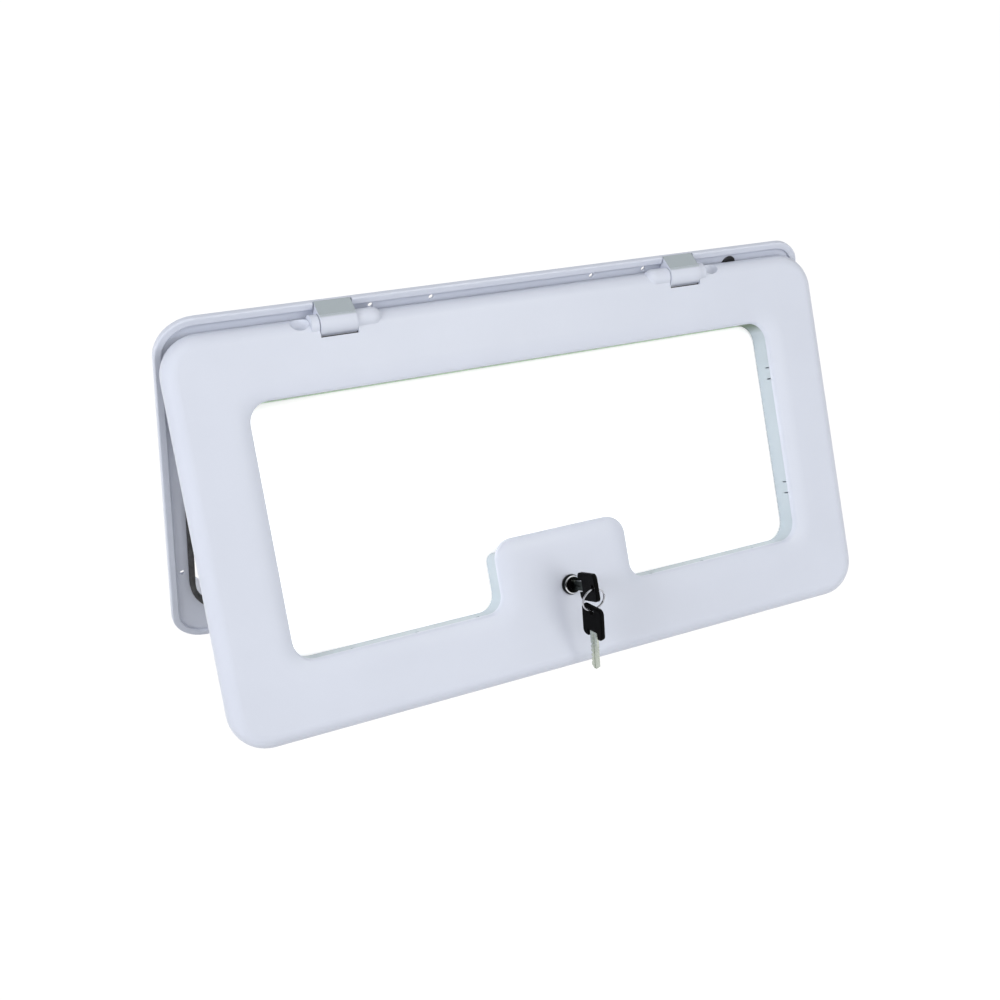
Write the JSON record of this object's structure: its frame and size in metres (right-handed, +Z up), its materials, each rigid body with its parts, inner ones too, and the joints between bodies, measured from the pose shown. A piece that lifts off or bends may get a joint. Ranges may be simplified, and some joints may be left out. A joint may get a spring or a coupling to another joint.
{
  "type": "wall access hatch",
  "caption": "Top-hinged white hatch on a screw-on wall frame, with a recessed infill panel, a cam lock in a tab of its window edge, and keys.",
  "frame": {"origin": "middle of the mounting frame's screw pattern, on the back face that lies on the wall", "axes": "+Z up the wall, -Y out of the wall towards the user, +X to the user's right; the door is stored open by 38.2 degrees"},
  "size_m": [0.64, 0.2695, 0.358],
  "materials": {
    "white_plastic": "satin",
    "white_sheet": "matte",
    "black_rubber": "matte",
    "plated_steel": "satin",
    "chrome": "polished",
    "black_plastic": "satin"
  },
  "bodies": {
    "frame": {"mounting_frame": "white_plastic", "frame_seal": "black_rubber", "bump_buffer": "black_rubber", "hinge_arm_left": "white_plastic", "hinge_arm_right": "white_plastic", "hinge_arm_screws": "plated_steel", "keeper": "plated_steel", "keeper_screws": "plated_steel"},
    "door": {"door_shell": "white_plastic", "liner_frame": "white_plastic", "panel_gasket": "black_rubber", "infill_panel": "white_sheet", "retaining_frame": "white_plastic", "retaining_screws": "plated_steel", "hinge_pin_left": "plated_steel", "hinge_pin_right": "plated_steel", "lock_housing": "chrome", "lock_washer": "black_rubber", "lock_nut": "chrome"},
    "plug": {"lock_plug": "black_plastic", "lock_cam": "plated_steel", "cam_screw": "plated_steel"},
    "key_a": {"key_a_blade": "chrome", "key_a_grip": "black_plastic"},
    "ring": {"key_ring": "plated_steel"},
    "key_b": {"key_b_blade": "chrome", "key_b_grip": "black_plastic"}
  },
  "joints": [
    {"name": "door_swing", "type": "hinge", "parent": "frame", "child": "door", "pos_m": [0, -0.015, 0.1645], "axis": [-1, 0, 0], "range_deg": [-38.2, 81.8]},
    {"name": "lock_turn", "type": "hinge", "parent": "door", "child": "plug", "pos_m": [0, -0.18112, -0.0369], "axis": [0, 0.7859, -0.6184], "range_deg": [0, 90]},
    {"name": "key_withdraw", "type": "slide", "parent": "plug", "child": "key_a", "axis": [0, -0.7859, 0.6184], "range_m": [0, 0.025]},
    {"name": "ring_swing", "type": "hinge", "parent": "key_a", "child": "ring", "pos_m": [0, -0.21681, -0.01059], "axis": [-1, 0, 0], "range_deg": [-3, 70]},
    {"name": "key_b_swing", "type": "hinge", "parent": "ring", "child": "key_b", "pos_m": [0, -0.22121, -0.03132], "axis": [-1, 0, 0], "range_deg": [-3, 35]}
  ]
}
